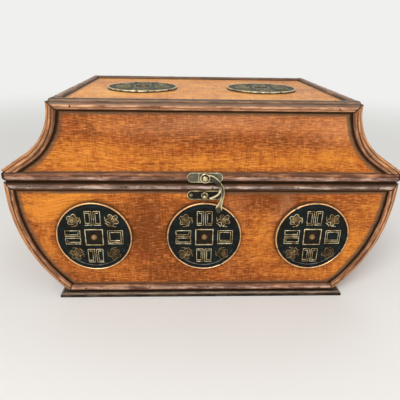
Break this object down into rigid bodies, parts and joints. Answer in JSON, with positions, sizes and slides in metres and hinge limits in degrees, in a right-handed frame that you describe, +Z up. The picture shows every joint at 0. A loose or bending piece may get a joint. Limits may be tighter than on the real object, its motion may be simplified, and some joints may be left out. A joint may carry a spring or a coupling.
{
  "type": "hinged keepsake chest",
  "caption": "Small wooden keepsake chest with bulged tray, swept-in hinged lid, half-round mouldings, coin medallions and a swing-hook brass latch.",
  "frame": {"origin": "middle of the plinth's underside", "axes": "+Z up, +X to the right of someone facing the latch, latch on the -Y side"},
  "size_m": [0.3518, 0.1928, 0.1915],
  "materials": {
    "panel_wood": "stained and lacquered, smoky at the edges",
    "top_panel_wood": "stained and lacquered, lighter",
    "dark_wood": "dark stain, worn satin",
    "coin_metal": "black patina with rubbed brass relief",
    "antique_brass": "antiqued, worn bright on edges"
  },
  "bodies": {
    "tray": {"base_plinth": "dark_wood", "catch_plate": "antique_brass", "catch_plate_nails": "antique_brass", "catch_post": "antique_brass", "front_left_medallion": "coin_metal", "front_medallion_nails": "antique_brass", "front_middle_medallion": "coin_metal", "front_right_medallion": "coin_metal", "hinge_tray_nails": "antique_brass", "left_hinge_pin": "antique_brass", "left_hinge_tray_leaf": "antique_brass", "right_hinge_pin": "antique_brass", "right_hinge_tray_leaf": "antique_brass", "tray_back_board": "panel_wood", "tray_back_foot_strip": "dark_wood", "tray_back_rim_strip": "dark_wood", "tray_back_side_strips": "dark_wood", "tray_floor": "panel_wood", "tray_front_board": "panel_wood", "tray_front_foot_strip": "dark_wood", "tray_front_rim_strip": "dark_wood", "tray_front_side_strips": "dark_wood", "tray_left_end_board": "panel_wood", "tray_left_foot_strip": "dark_wood", "tray_left_rim_strip": "dark_wood", "tray_left_side_strips": "dark_wood", "tray_right_end_board": "panel_wood", "tray_right_foot_strip": "dark_wood", "tray_right_rim_strip": "dark_wood", "tray_right_side_strips": "dark_wood"},
    "lid": {"hinge_lid_nails": "antique_brass", "latch_plate": "antique_brass", "latch_plate_nails": "antique_brass", "latch_rivet": "antique_brass", "left_hinge_lid_leaf": "antique_brass", "lid_back_board": "panel_wood", "lid_back_crown_strip": "dark_wood", "lid_back_rim_strip": "dark_wood", "lid_back_side_strips": "dark_wood", "lid_front_board": "panel_wood", "lid_front_crown_strip": "dark_wood", "lid_front_rim_strip": "dark_wood", "lid_front_side_strips": "dark_wood", "lid_left_crown_strip": "dark_wood", "lid_left_end_board": "panel_wood", "lid_left_rim_strip": "dark_wood", "lid_left_side_strips": "dark_wood", "lid_right_crown_strip": "dark_wood", "lid_right_end_board": "panel_wood", "lid_right_rim_strip": "dark_wood", "lid_right_side_strips": "dark_wood", "lid_top_board": "top_panel_wood", "lid_top_long_strips": "dark_wood", "lid_top_short_strips": "dark_wood", "right_hinge_lid_leaf": "antique_brass", "top_left_medallion": "coin_metal", "top_medallion_nails": "antique_brass", "top_right_medallion": "coin_metal"},
    "hook": {"latch_hook": "antique_brass"}
  },
  "joints": [
    {"name": "lid_hinge", "type": "hinge", "parent": "tray", "child": "lid", "pos_m": [0, 0.0914, 0.11915], "axis": [-1, 0, 0], "range_deg": [0, 110]},
    {"name": "latch_swing", "type": "hinge", "parent": "lid", "child": "hook", "pos_m": [0, -0.09555, 0.1248], "axis": [0, -1, 0], "range_deg": [0, 110]}
  ]
}
